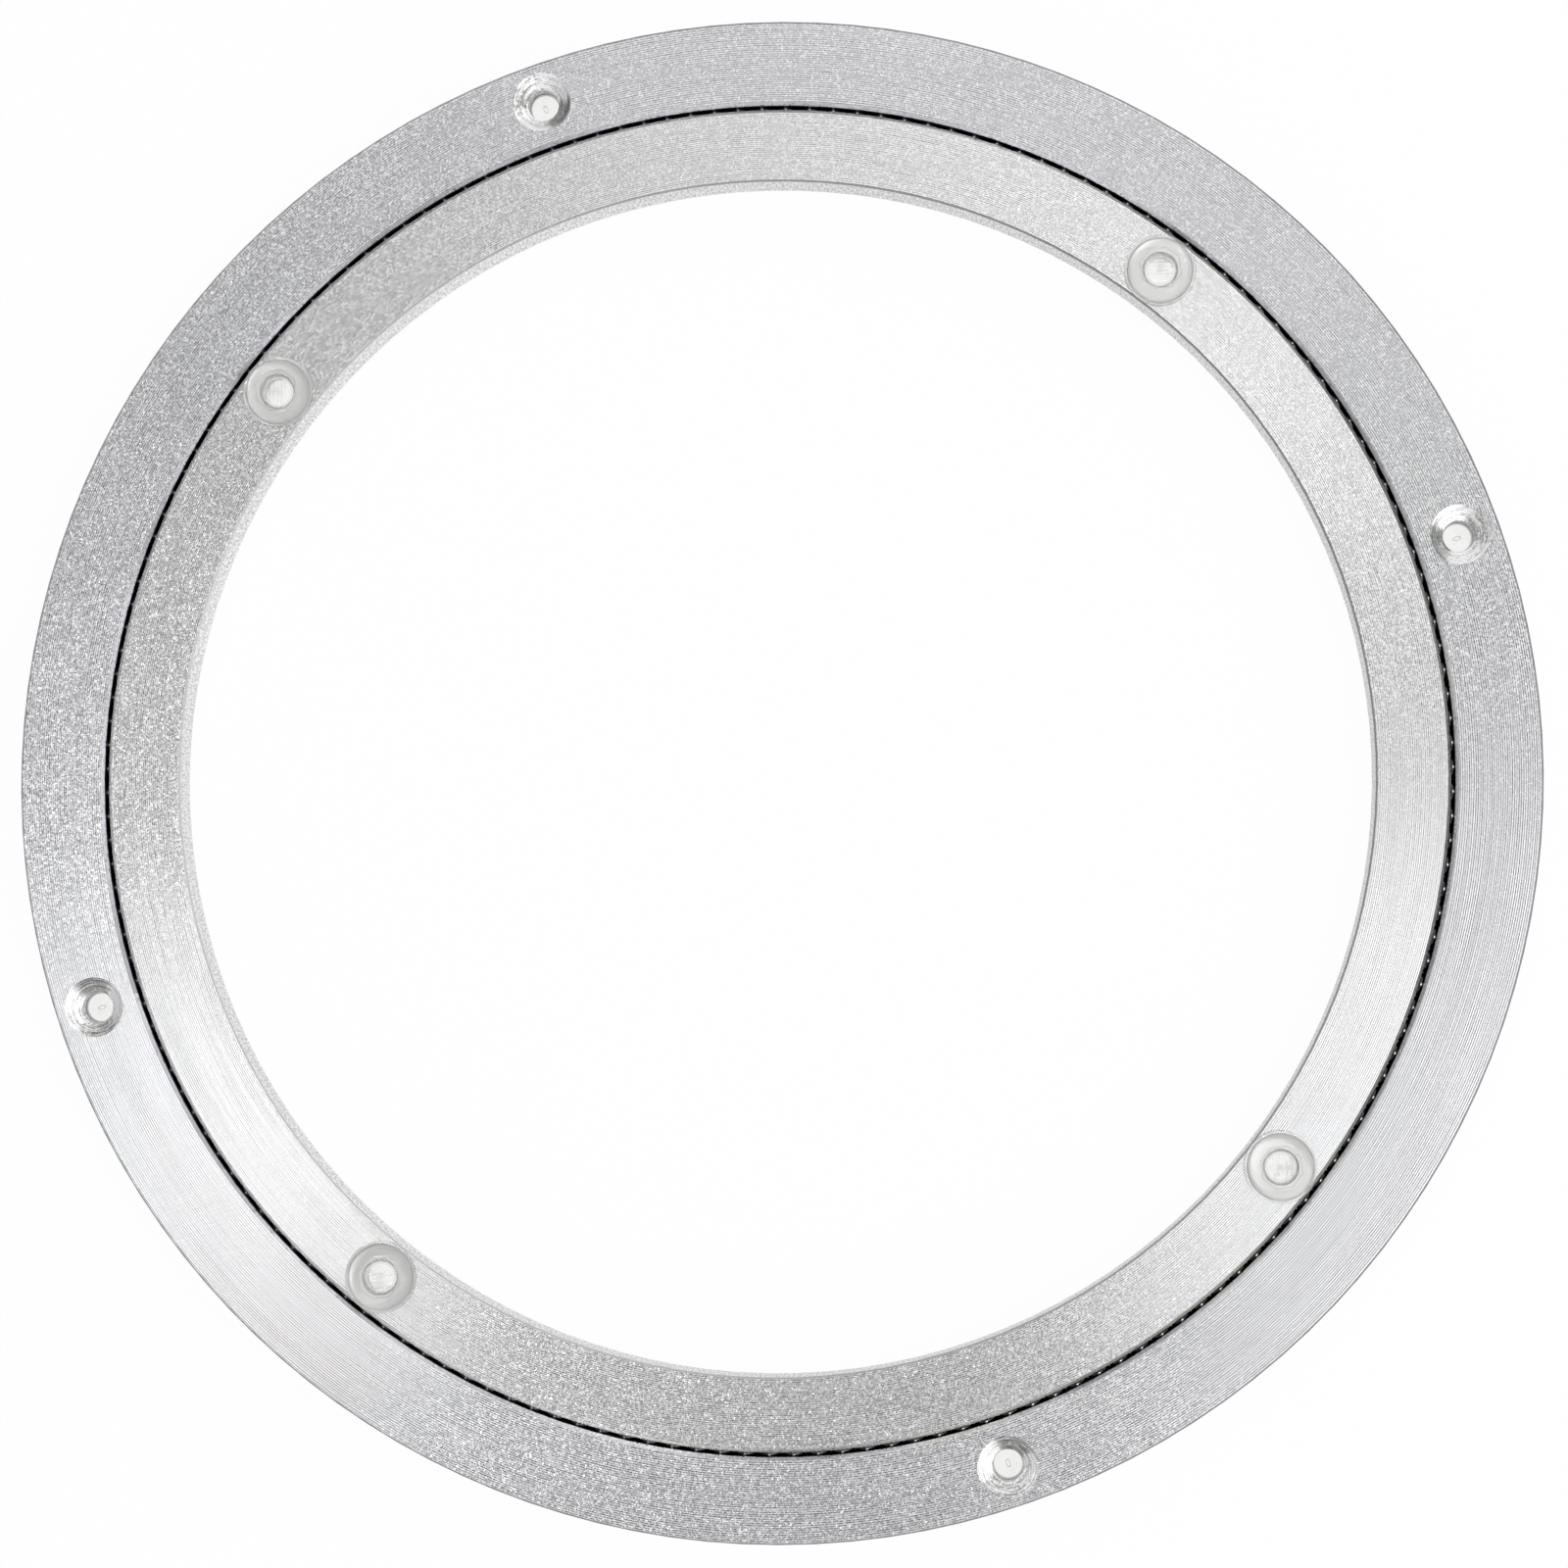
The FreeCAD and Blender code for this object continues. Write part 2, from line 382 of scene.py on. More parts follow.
def drillMarksGroup():
    # Rings and chatter that a countersink leaves round the nearest of the four screw holes, and painted shade on
    # one side of each
    look = drillPattern
    inputs = {"Radius": 0.0, "Angle": 0.0, "Hole Circle": 142.2, "First Hole": 0.0}
    inputs.update((side, 0.0) for side in paintedDarkSides)
    outputs = ["Distance", "Rings", "Chatter", "Painted Shade"]
    tree, given, asked = newGroup("drill marks", inputs, outputs)
    share = 2 * math.pi / len(paintedDarkSides)
    turned = calc(tree, "DIVIDE", calc(tree, "SUBTRACT", given["Angle"], given["First Hole"]), share)
    hole = calc(tree, "FLOOR", calc(tree, "ADD", turned, 0.5))
    number = calc(tree, "FLOORED_MODULO", hole, len(paintedDarkSides))
    seed = product(tree, number, look["seedStep"])
    offAngle = product(tree, calc(tree, "SUBTRACT", turned, hole), share)
    along = product(tree, given["Radius"], calc(tree, "COSINE", offAngle))
    x = calc(tree, "SUBTRACT", along, given["Hole Circle"])
    y = product(tree, given["Radius"], calc(tree, "SINE", offAngle))
    distance = calc(tree, "MAXIMUM", length(tree, x, y), 0.01)
    aroundX = calc(tree, "DIVIDE", x, distance)
    aroundY = calc(tree, "DIVIDE", y, distance)
    wire(tree, distance, asked["Distance"])

    def pattern(away, aside, rough):
        spot = [product(tree, distance, away), product(tree, aroundX, aside), product(tree, aroundY, aside)]
        return noise(tree, point(tree, *spot), 1.0, 2.0, rough, seed)

    wire(tree, pattern(*look["rings"], look["ringRoughness"]), asked["Rings"])
    chatter = pattern(*look["chatter"], look["chatterRoughness"])
    wire(tree, chatter, asked["Chatter"])
    # Painted shade on one side of each hole, standing in for the dark part of the countersink's reflection, with
    # an edge that the chatter breaks up
    paintedDarkAngle = 0.0
    for index, side in enumerate(paintedDarkSides):
        isHere = calc(tree, "COMPARE", number, index, 0.5)
        paintedDarkAngle = calc(tree, "MULTIPLY_ADD", isHere, given[side], paintedDarkAngle)
    towards = calc(tree, "ADD", product(tree, aroundX, calc(tree, "COSINE", paintedDarkAngle)),
                   product(tree, aroundY, calc(tree, "SINE", paintedDarkAngle)))
    towards = calc(tree, "SUBTRACT", towards, look["chatterShare"] / 2)
    wire(tree, calc(tree, "MULTIPLY_ADD", chatter, look["chatterShare"], towards), asked["Painted Shade"])
    return tree


scratchPattern = {
    "alongScale": 0.12,  # changes per mm along a scratch
    "lineWidth": 0.03,   # share of the streaks' range that a scratch takes
    "patchScale": 0.35,  # per mm
    "patchBlur": 0.08,
    "patchSeed": 5.0,
}


def hairScratchesGroup():
    # Thin straight scratches along one direction, in patches
    look = scratchPattern
    inputs = {"Turn": 0.0, "Spacing": 0.5, "Amount": 0.5, "Seed": 0.0}
    tree, given, asked = newGroup("hair scratches", inputs, ["Scratch"])
    place = placeInMm(tree)
    turn = tree.nodes.new("ShaderNodeVectorRotate")
    turn.rotation_type = "Z_AXIS"
    wire(tree, place, turn.inputs["Vector"])
    wire(tree, given["Turn"], turn.inputs["Angle"])
    x, y, z = split(tree, turn.outputs["Vector"])
    across = calc(tree, "DIVIDE", x, given["Spacing"])
    along = product(tree, y, look["alongScale"])
    streaks = noise(tree, point(tree, across, along, 0.0), 1.0, 1.0, 0.5, given["Seed"])
    offLine = calc(tree, "ABSOLUTE", calc(tree, "SUBTRACT", streaks, 0.5))
    line = ramp(tree, offLine, look["lineWidth"], 0.0)
    seed = calc(tree, "ADD", given["Seed"], look["patchSeed"])
    patches = noise(tree, place, look["patchScale"], 1.0, 0.5, seed)
    threshold = without(tree, given["Amount"])
    start = calc(tree, "SUBTRACT", threshold, look["patchBlur"])
    shown = ramp(tree, patches, start, calc(tree, "ADD", threshold, look["patchBlur"]))
    wire(tree, product(tree, line, shown), asked["Scratch"])
    return tree


ringPlace = ringPlaceGroup()
faceKinds = faceKindsGroup()
turnedGrooves = turnedGroovesGroup()
blastedGrain = blastedGrainGroup()
satinFacets = satinFacetsGroup()
drillMarks = drillMarksGroup()
hairScratches = hairScratchesGroup()
print("shared effects built")


# Sizes of the clear rubber bumpers that stand in the rings' holes

bumper = {
    "radius": 7.0,          # mm, as the CAD bumper
    "height": 2.5,
    "rimHeight": 0.5,
    "ledge": 0.45,
    "bulge": 0.35,
    "crownSides": 8,
    "crownFlats": 7.8,
    "crownHeight": 0.12,
    "crownMargin": 0.25,
    "stemRadius": 3.5,
    "stemHeight": 2.5,
    "stemChamfer": 0.6,
    "seatClearance": 0.02,  # between the bumper's flat face and the ring
    "gateMark": (0.8, 0.4),  # half length and half width
    "turnSegments": 144,
    "domeSteps": 10,
    "softEdge": 0.08,
    "cornerSteps": 3,
    "markRings": (0.45, 0.85),  # the gate mark's deep rings, as shares of its outline
    "stemCircle": 2.0,          # the mesh turns from the oval mark to circles halfway to this radius
    "crownTurn": (0.3, 0.75),   # rounding of the crown's edge, as shares of its draft and height
    "crownTop": 0.93,
    "crownCircles": (2.4, 1.2),
    "sharpAngle": 35,           # degrees
}


# The two turned aluminium rings

outerRing = {
    "node": "outer_ring",
    "colour": (0.638, 0.638, 0.654),
    "gapEdgeColour": (0.67, 0.662, 0.705),
    "gapEdgeLightSwing": (0.35, 311.0),  # painted light: how much its tone rises and falls round the ring, and its brightest angle
    "faceLightSwing": (0.0, 0.0),     # the same painted light for the whole ring
    # painted shade and light: the free edge's bevel darkened to a line, lighter towards one angle
    "freeEdgeTone": 0.42,
    "freeEdgeLightSwing": (0.0, 0.0),
    "groovePitch": 0.434,        # mm
    "grooveTilt": 0.07,          # slope of the grooves' sides
    "grooveShade": (0.6, 0.95),  # strength of the grooves' painted shade, on the half away from the light and on the half that the light falls across
    "facetLength": 0.26,         # mm
    "radialTilt": 0.14,          # furthest slope of a facet
    "alongTilt": 0.1,
    "speckleShade": 0.1,
    "roughness": 0.28,
    "anisotropy": 0.48,
    "dish": 0.031,               # how much the tool's facets lean towards the middle
    "holeShade": 0.1,            # painted shade beside the bumper's stem, down in the hole
    "seed": 1.0,
    "paintedDarkSides": (181.0, 221.0, 257.0, 146.0),  # degrees from outwards, for the side of each hole with painted shade
    "mount": "screw_holes",
    "firstHole": math.atan2(footCentre.y, footCentre.x),
}

innerRing = {
    "node": "inner_ring",
    "colour": (0.724, 0.723, 0.731),
    "gapEdgeColour": (0.8, 0.79, 0.74),
    "gapEdgeLightSwing": (0.75, 155.0),
    "faceLightSwing": (0.075, 18.0),
    # painted shade and light: the free edge's bevel darkened to a line, lighter towards one angle
    "freeEdgeTone": 0.6,
    "freeEdgeLightSwing": (0.3, 211.0),
    "groovePitch": 0.397,
    "grooveTilt": 0.1,
    "grooveShade": (0.6, 0.7),
    "facetLength": 0.26,
    "radialTilt": 0.14,
    "alongTilt": 0.08,
    "speckleShade": 0.1,
    "roughness": 0.28,
    "anisotropy": 0.834,
    "dish": 0.028,
    "holeShade": 0.8,
    "seed": 4.0,
    "paintedDarkSides": (181.0, 221.0, 257.0, 146.0),
    "mount": "board_screw_holes",
    "firstHole": math.atan2(padCentre.y, padCentre.x),
}

# Sectors where the grain and its painted glints are calmer, where the lamps' gloss falls: angle, half width in
# degrees, and share
calmSectors = ((198.0, 34.0, 0.9), (316.0, 38.0, 0.9), (50.0, 62.0, 0.5))

turnedFinish = {
    "sandSize": 0.29,            # mm
    "sandShade": 1.75,
    "sandPeaks": 2.6,            # above 1, few bright grains stand out of a calm face
    "sandRest": 0.215,           # mean of the peaked grain
    # painted glints on a few grains
    "sandGlint": 0.4,
    "grooveLightAngle": 290.0,            # degrees, middle of the half where the grooves' painted shade is strongest, as the light falls across them
    "coneReach": 6.4,            # mm round a screw hole, past its countersink
    "coneColour": (0.95, 0.95, 0.94),
    "coneRoughness": 0.3,
    "coneRings": (0.72, 1.8),    # darkest and brightest of the tool's rings
    "coneChatter": (0.74, 1.3),
    "conePaintedShade": 0.34,           # painted shade on one side of each countersink
    "conePaintedFaintShade": 0.55,      # and fainter painted shade on the far side of the hole
    "coneRingDepth": 0.35,       # mm
    "coneRise": 0.75,            # how much the tool's burnished rings face up
    "holeShadeReach": (0.9, 0.3),  # mm from the stem's end
    "padReach": 6.6,             # mm round a hole, where the clear rubber sits tight on the face
    # painted light: the face under the clear rubber is brightened
    "padTone": 1.05,
    "padEdgeTone": 1.3,          # painted highlight under the edge of its dome
    "padEdgeStart": (5.2, 6.0),  # mm
    "lineShare": 0.3,            # share of a pitch that the grooves' dark lines of painted shade take
    "gapEdgeDepth": 0.66,        # mm, the bevel's height
    # painted shade down in the gap, along the race
    "paintedGapShadeTone": 0.05,
    "wallTilt": 0.3,
    "wallSpeckle": 0.15,
    "wallSand": (0.5, 1.7, 0.72, 1.2),  # grain of the upright walls: length and height in mm, tones
    "wallRoughness": 0.45,
    # painted light: the walls' tone, brightest at one angle round the ring
    "wallTone": 1.02,
    "wallLightSwing": (0.09, 201.0),
    "maskBlur": 0.1,             # mm, the soft edge between two finishes
    "sideSplit": 5.0,            # mm inside a ring's rim, where its two sides part
    "calmCore": 2.5,             # width of a calm sector against that of its calmest part
    "grooveLightAngleEdges": (-0.3, 0.6),       # cosines of the angles from the middle of the grooves' strongest painted shade
    "noiseEdges": (0.35, 0.65),        # where most of a noise's values lie
    "coneRingEdges": (0.4, 0.6),
    "conePaintedShadeEdges": (0.6, 0.85),     # cosines of the angles from the middle of the painted shade
    "conePaintedFaintShadeEdges": (-0.5, -0.9),
    "cloudTone": (0.1, 0.95),          # spread and least of the slow clouds
    "gapEdgePatches": (2.0, 0.7, 1.3),  # changes per radian, darkest and brightest tone
    "roughSpeckle": 0.05,
    "brightest": 0.97,
}


def cosineFrom(tree, angle, degrees):
    return calc(tree, "COSINE", calc(tree, "SUBTRACT", angle, math.radians(degrees)))


def paintedLightSwing(tree, angle, swing, tone=1.0):
    # Painted light: a tone that rises and falls once round the ring, brightest at one angle
    share, brightestAngle = swing
    return calc(tree, "MULTIPLY_ADD", cosineFrom(tree, angle, brightestAngle), share * tone, tone)


def turnedAluminium(look):
    finish = turnedFinish
    blur = finish["maskBlur"]
    isOuter = look is outerRing
    material, tree, shader = newMaterial("turned aluminium, " + look["node"].replace("_", " "))
    place = useGroup(tree, ringPlace)
    radius, height, angle = place["Radius"], place["Height"], place["Angle"]
    faces = useGroup(tree, faceKinds)
    grooves = useGroup(tree, turnedGrooves, {
        "Radius": radius, "Angle": angle, "Pitch": look["groovePitch"],
    })
    grain = useGroup(tree, blastedGrain, {"Grain Size": finish["sandSize"], "Seed": look["seed"]})
    marks = useGroup(tree, drillMarks, {
        "Radius": radius, "Angle": angle, "First Hole": look["firstHole"],
        "Hole Circle": mounts[look["mount"]]["dims"]["pcd_mm"] / 2,
        **{side: math.radians(turn) for side, turn in zip(paintedDarkSides, look["paintedDarkSides"])},
    })

    # Where each finish lies
    nearHole = ramp(tree, marks["Distance"], finish["coneReach"], finish["coneReach"] - blur / 2)
    cone = product(tree, faces["Bevel"], nearHole)
    edge = calc(tree, "SUBTRACT", faces["Bevel"], cone)
    middle = (rimRadius if isOuter else gapRadius) - finish["sideSplit"]
    outwards = ramp(tree, radius, middle - blur, middle + blur)
    inwards = without(tree, outwards)
    freeSide, gapSide = (outwards, inwards) if isOuter else (inwards, outwards)
    freeEdge = product(tree, edge, freeSide)
    gapEdge = product(tree, edge, gapSide)
    highest, lowest = ringTop - finish["gapEdgeDepth"], ringBottom + finish["gapEdgeDepth"]
    below = ramp(tree, height, highest, highest - blur)
    above = ramp(tree, height, lowest, lowest + blur)
    # Painted shade down in the gap, below its bevels
    paintedGapShade = product(tree, below, above, gapSide, without(tree, nearHole))
    middleHeight = (ringTop + ringBottom) / 2
    rubberSide = ramp(tree, height, middleHeight + blur, middleHeight - blur)
    if not isOuter:
        rubberSide = without(tree, rubberSide)
    nearRubber = ramp(tree, marks["Distance"], finish["padReach"] + blur, finish["padReach"])
    wetted = product(tree, nearRubber, rubberSide)
    dry = without(tree, wetted)
    grooved = product(tree, faces["Flat"], dry)

    # The grain and its painted glints come and go round the ring, calmer where the lamps' gloss falls
    grainy = 1.0
    for middleAngle, halfWidth, share in calmSectors:
        wide, narrow = (math.cos(math.radians(turn)) for turn in (halfWidth, halfWidth / finish["calmCore"]))
        calmed = ramp(tree, cosineFrom(tree, angle, middleAngle), wide, narrow, 1.0, 1.0 - share)
        grainy = calc(tree, "MULTIPLY", grainy, calmed)
    grainyFace = product(tree, grooved, grainy)
    fromGrooveLightAngle = cosineFrom(tree, angle, finish["grooveLightAngle"])
    grooveShade = ramp(tree, fromGrooveLightAngle, *finish["grooveLightAngleEdges"], *look["grooveShade"])

    # Facets and grooves tilt the turned faces, and a coarser sand grain the walls
    lean = product(tree, grooves["Slope"], grooves["Depth"], look["grooveTilt"])
    lean = product(tree, calc(tree, "SUBTRACT", lean, look["dish"]), grooved)
    wallTilt = finish["wallTilt"]
    facets = useGroup(tree, satinFacets, {
        "Cut": grooves["Cut"], "Angle": angle, "Height": height, "Length": look["facetLength"], "Lean": lean,
        "Radial Tilt": product(tree, grainyFace, look["radialTilt"]),
        "Along Tilt": mixed(tree, faces["Flat"], wallTilt, product(tree, grainy, look["alongTilt"])),
        "Upright Tilt": wallTilt, "Rise": product(tree, cone, finish["coneRise"]),
    })

    # Tone of the turned faces: the grooves' dark lines of painted shade, bright sand with painted glints,
    # speckle, slow clouds and painted light round the ring
    worn = calc(tree, "MULTIPLY_ADD", facets["Second Speckle"], 2.0, -1.0)
    lines = product(tree, calc(tree, "SUBTRACT", finish["lineShare"], grooves["Line"]), grooves["Depth"],
                    grooved, grooveShade, calc(tree, "MULTIPLY_ADD", worn, grainy, 1.0))
    sand = calc(tree, "SUBTRACT", calc(tree, "POWER", grain["Speckle"], finish["sandPeaks"]), finish["sandRest"])
    sand = product(tree, sand, finish["sandShade"])
    sand = calc(tree, "MULTIPLY_ADD", grain["Glint"], finish["sandGlint"], sand)
    lines = calc(tree, "ADD", lines, product(tree, sand, grainyFace))
    grit = product(tree, mixed(tree, faces["Wall"], look["speckleShade"], finish["wallSpeckle"]), dry)
    speckle = product(tree, calc(tree, "SUBTRACT", facets["Speckle"], 0.5), grit)
    tone = product(tree, calc(tree, "ADD", lines, 1.0), calc(tree, "ADD", speckle, 1.0),
                   calc(tree, "MULTIPLY_ADD", grain["Cloud"], *finish["cloudTone"]),
                   paintedLightSwing(tree, angle, look["faceLightSwing"]))

    # Tone of the walls, with painted light round the ring, and under the pads, with painted light seen through
    # the rubber
    sandLength, sandHeight, sandDark, sandBright = finish["wallSand"]
    alongWall = product(tree, angle, middle / sandLength)
    wallSpot = point(tree, alongWall, calc(tree, "DIVIDE", height, sandHeight), 0.0)
    wallSand = noise(tree, wallSpot, 1.0, 2.0, 0.6, look["seed"])
    wallTone = product(tree, ramp(tree, wallSand, *finish["noiseEdges"], sandDark, sandBright),
                       paintedLightSwing(tree, angle, finish["wallLightSwing"], finish["wallTone"]))
    # Painted light under the pads, brightest under the dome's edge
    underPad = ramp(tree, marks["Distance"], *finish["padEdgeStart"], finish["padTone"], finish["padEdgeTone"])
    tone = product(tree, tone, mixed(tree, faces["Wall"], 1.0, wallTone), mixed(tree, wetted, 1.0, underPad))

    # Painted shade and light on the free edge, painted shade down in the gap along the race and on the hole's
    # wall beside the bumper's stem
    tone = mixed(tree, freeEdge, tone, paintedLightSwing(tree, angle, look["freeEdgeLightSwing"], look["freeEdgeTone"]))
    tone = mixed(tree, paintedGapShade, tone, finish["paintedGapShadeTone"])
    stemEnd = ringBottom + bumper["stemHeight"] if isOuter else ringTop - bumper["stemHeight"]
    fromStem = product(tree, calc(tree, "SUBTRACT", height, stemEnd), 1.0 if isOuter else -1.0)
    # Painted shade on the hole's wall, down beside the stem's end
    shaded = product(tree, ramp(tree, fromStem, *finish["holeShadeReach"]), nearHole, faces["Wall"])
    tone = mixed(tree, shaded, tone, look["holeShade"])

    # Tone of the countersinks, with painted shade on one side of each, and of the edges along the gap
    ringTone = ramp(tree, marks["Rings"], *finish["coneRingEdges"], *finish["coneRings"])
    chatterTone = ramp(tree, marks["Chatter"], *finish["noiseEdges"], *finish["coneChatter"])
    paintedShadeTone = ramp(tree, marks["Painted Shade"], *finish["conePaintedShadeEdges"], 1.0, finish["conePaintedShade"])
    paintedFaintShadeTone = ramp(tree, marks["Painted Shade"], *finish["conePaintedFaintShadeEdges"], 1.0, finish["conePaintedFaintShade"])
    coneTone = product(tree, ringTone, chatterTone, paintedShadeTone, paintedFaintShadeTone)
    patchScale, patchDark, patchBright = finish["gapEdgePatches"]
    patchSpot = point(tree, product(tree, angle, patchScale), 0.0, 0.0)
    patches = noise(tree, patchSpot, 1.0, 2.0, 0.6, look["seed"])
    # Painted light: the bevels along the gap are brighter towards one side of the ring
    gapEdgeTone = product(tree, paintedLightSwing(tree, angle, look["gapEdgeLightSwing"]),
                          ramp(tree, patches, *finish["noiseEdges"], patchDark, patchBright))
    tone = product(tree, tone, mixed(tree, gapEdge, 1.0, gapEdgeTone))

    colour = mixed(tree, gapEdge, (*look["colour"], 1), (*look["gapEdgeColour"], 1), "RGBA")
    colour = mixed(tree, cone, colour, (*finish["coneColour"], 1), "RGBA")
    least = tree.nodes.new("ShaderNodeVectorMath")
    least.operation = "MINIMUM"
    wire(tree, scaled(tree, colour, mixed(tree, cone, tone, coneTone)), least.inputs[0])
    least.inputs[1].default_value = [finish["brightest"]] * 3
    wire(tree, least.outputs["Vector"], shader.inputs["Base Color"])

    rough = calc(tree, "MULTIPLY_ADD", facets["Second Speckle"], finish["roughSpeckle"], look["roughness"])
    rough = mixed(tree, faces["Wall"], rough, finish["wallRoughness"])
    wire(tree, mixed(tree, cone, rough, finish["coneRoughness"]), shader.inputs["Roughness"])
    addRelief(tree, shader, product(tree, marks["Rings"], finish["coneRingDepth"], cone), facets["Normal"])

    tangent = tree.nodes.new("ShaderNodeTangent")
    tangent.direction_type = "RADIAL"
    tangent.axis = "Z"
    wire(tree, tangent.outputs["Tangent"], shader.inputs["Tangent"])
    shader.inputs["Metallic"].default_value = 1.0
    shader.inputs["Anisotropic"].default_value = look["anisotropy"]
    shader.inputs["Anisotropic Rotation"].default_value = 0.25  # the gloss spreads across the grooves
    return material


def dress(nodeName, material):
    node = frame["nodes"][nodeName]
    for slot in node.material_slots:
        slot.material = material


dress("outer_ring", turnedAluminium(outerRing))
dress("inner_ring", turnedAluminium(innerRing))
print("rings finished")


# Balls and filling plug

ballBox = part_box("bearing_balls")

ballSteel = {
    "colour": (0.055, 0.055, 0.058),  # painted shade: the balls are darkened so that they read black down in the gap
    "roughness": 0.05,
    "greaseRoughness": 0.12,
    "greaseEdges": (0.5, 0.7),   # noise where the grease starts, and where it is thick
    "greaseShade": 0.15,
    "greaseGrain": 0.5,          # mm
    "paintedGlintTone": 16.0,           # of the painted glint: a bright spot on each ball
    "paintedGlintSpot": (0.22, 0.3, 0.22),  # mm: outwards from the ball's middle, reach and core
}


def polishedSteel():
    look = ballSteel
    material, tree, shader = newMaterial("polished ball steel")
    grain = useGroup(tree, blastedGrain, {"Grain Size": look["greaseGrain"], "Seed": 9.0})
    place = useGroup(tree, ringPlace)
    # Painted glint: a bright spot on each ball, a little outwards from the middle of its top
    ballRadius = (ballBox[1].z - ballBox[0].z) / 2 / mm
    circle = ballBox[1].x / mm - ballRadius
    step = 2 * math.pi / math.floor(math.pi / math.asin(ballRadius / circle))
    nearest = product(tree, calc(tree, "ROUND", calc(tree, "DIVIDE", place["Angle"], step)), step)
    aside = product(tree, calc(tree, "SUBTRACT", place["Angle"], nearest), circle)
    outwards, reach, core = look["paintedGlintSpot"]
    across = calc(tree, "SUBTRACT", place["Radius"], circle + outwards)
    paintedGlint = ramp(tree, length(tree, aside, across), reach, core)
    film = product(tree, ramp(tree, grain["Crumple"], *look["greaseEdges"]), without(tree, paintedGlint))
    tone = calc(tree, "MULTIPLY_ADD", film, -look["greaseShade"], 1.0)
    tone = mixed(tree, paintedGlint, tone, look["paintedGlintTone"])
    wire(tree, scaled(tree, look["colour"], tone), shader.inputs["Base Color"])
    wire(tree, mixed(tree, film, look["roughness"], look["greaseRoughness"]), shader.inputs["Roughness"])
    shader.inputs["Metallic"].default_value = 1.0
    return material


plugSteel = {
    "colour": (0.12, 0.12, 0.125),
    "roughness": (0.28, 0.2),  # least, and how much the crumple adds
    "grainSize": 0.25,         # mm
    "grainDepth": 0.01,
    "speckle": (0.5, 0.75),    # spread and least tone of the grain
    "glint": 0.8,
}


def blackenedSteel():
    look = plugSteel
    material, tree, shader = newMaterial("blackened set screw steel")
    grain = useGroup(tree, blastedGrain, {"Grain Size": look["grainSize"], "Seed": 12.0})
    tone = calc(tree, "MULTIPLY_ADD", grain["Speckle"], *look["speckle"])
    # Painted glints on a few grains
    tone = calc(tree, "ADD", tone, product(tree, grain["Glint"], look["glint"]))
    wire(tree, scaled(tree, look["colour"], tone), shader.inputs["Base Color"])
    smoothest, spread = look["roughness"]
    wire(tree, calc(tree, "MULTIPLY_ADD", grain["Crumple"], spread, smoothest), shader.inputs["Roughness"])
    addRelief(tree, shader, product(tree, grain["Crumple"], look["grainDepth"]))
    shader.inputs["Metallic"].default_value = 1.0
    return material


dress("bearing_balls", polishedSteel())
dress("filling_plug", blackenedSteel())
print("balls and plug finished")


# Clear rubber pads on the inner ring and feet under the outer one

def roundedCorner(before, corner, after, radius):
    # The corner's points on a small arc that touches both of its sides
    toBefore = (before - corner).normalized()
    toAfter = (after - corner).normalized()
    start = corner + toBefore * radius
    end = corner + toAfter * radius
    points = []
    steps = bumper["cornerSteps"]
    for step in range(steps + 1):
        share = step / steps
        points.append(start.lerp(corner, share).lerp(corner.lerp(end, share), share))
    return points


def crownRadius(angle, flats, sides):
    # Distance from the middle to the side of a polygon, with a flat facing angle 0
    step = 2 * math.pi / sides
    return flats / 2 / math.cos((angle + step / 2) % step - step / 2)


def bumperOutline():
    # Radius and height from the stem's end out to the rim and in again to the crown
    look = bumper
    edge = look["radius"] - look["ledge"]
    topRadius = look["crownFlats"] / 2 / math.cos(math.pi / look["crownSides"]) + look["crownMargin"]
    topHeight = look["height"] - look["crownHeight"]
    low = Vector((edge, look["rimHeight"]))
    high = Vector((topRadius, topHeight))
    side = (high - low).normalized()
    outwards = Vector((side.y, -side.x))
    dome = []
    for step in range(1, look["domeSteps"]):
        share = step / look["domeSteps"]
        dome.append(low.lerp(high, share) + outwards * look["bulge"] * 4 * share * (1 - share))
    base = look["seatClearance"]
    corners = [
        Vector((look["stemRadius"] - look["stemChamfer"], -look["stemHeight"])),
        Vector((look["stemRadius"], look["stemChamfer"] - look["stemHeight"])),
        Vector((look["stemRadius"], base)),
        Vector((look["radius"], base)),
        Vector((look["radius"], look["rimHeight"])),
        low,
        *dome,
        high,
    ]
    soft = [0, 1, 3, 4]
    outline = []
    for number, corner in enumerate(corners):
        if number in soft:
            before = corners[number - 1] if number else Vector((0.0, -look["stemHeight"]))
            outline += roundedCorner(before, corner, corners[number + 1], look["softEdge"])
        else:
            outline.append(corner)
    return outline


